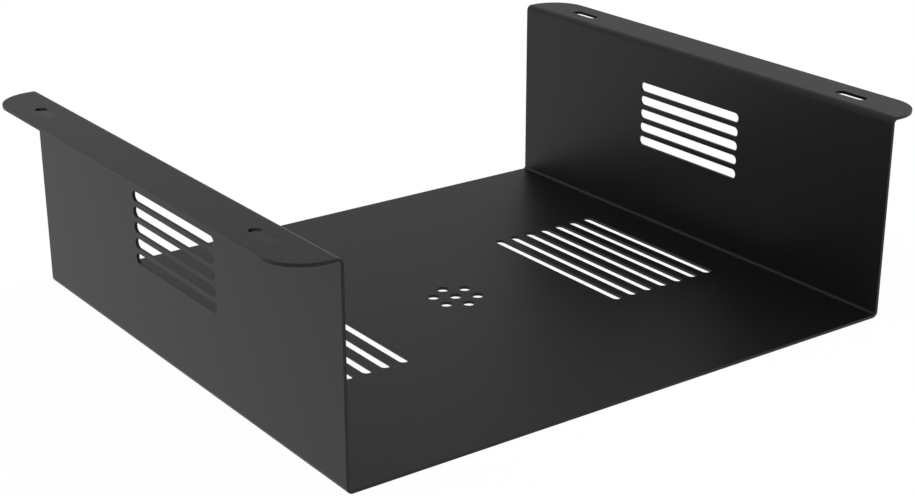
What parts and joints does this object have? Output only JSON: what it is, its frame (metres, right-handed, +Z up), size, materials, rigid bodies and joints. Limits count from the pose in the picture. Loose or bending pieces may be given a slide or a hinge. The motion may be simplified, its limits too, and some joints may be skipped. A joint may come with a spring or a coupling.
{
  "type": "under-desk computer holder",
  "caption": "Folded sheet-steel tray with vented side walls and slotted outward flanges that hangs a small desktop computer under a desk, with its wood screws.",
  "frame": {"origin": "under the middle of the tray, at the centre of the bounding box's bottom", "axes": "+X across the holder from wall to wall, +Y to the back, +Z up to the desk"},
  "size_m": [0.35, 0.275, 0.1],
  "materials": {
    "powder_coat": "satin black powder coat with a fine grain, on steel sheet",
    "screw_steel": "black zinc plate, semi-gloss"
  },
  "bodies": {
    "holder": {"folded_tray": "powder_coat"},
    "screw_1": {"mounting_screw_1": "screw_steel"},
    "screw_2": {"mounting_screw_2": "screw_steel"},
    "screw_3": {"mounting_screw_3": "screw_steel"},
    "screw_4": {"mounting_screw_4": "screw_steel"}
  },
  "joints": [
    {"name": "screw_1_lift_out", "type": "slide", "parent": "holder", "child": "screw_1", "axis": [0, 0, 1], "range_m": [0, 0.11]},
    {"name": "screw_2_lift_out", "type": "slide", "parent": "holder", "child": "screw_2", "axis": [0, 0, 1], "range_m": [0, 0.11]},
    {"name": "screw_3_lift_out", "type": "slide", "parent": "holder", "child": "screw_3", "axis": [0, 0, 1], "range_m": [0, 0.11]},
    {"name": "screw_4_lift_out", "type": "slide", "parent": "holder", "child": "screw_4", "axis": [0, 0, 1], "range_m": [0, 0.11]}
  ]
}
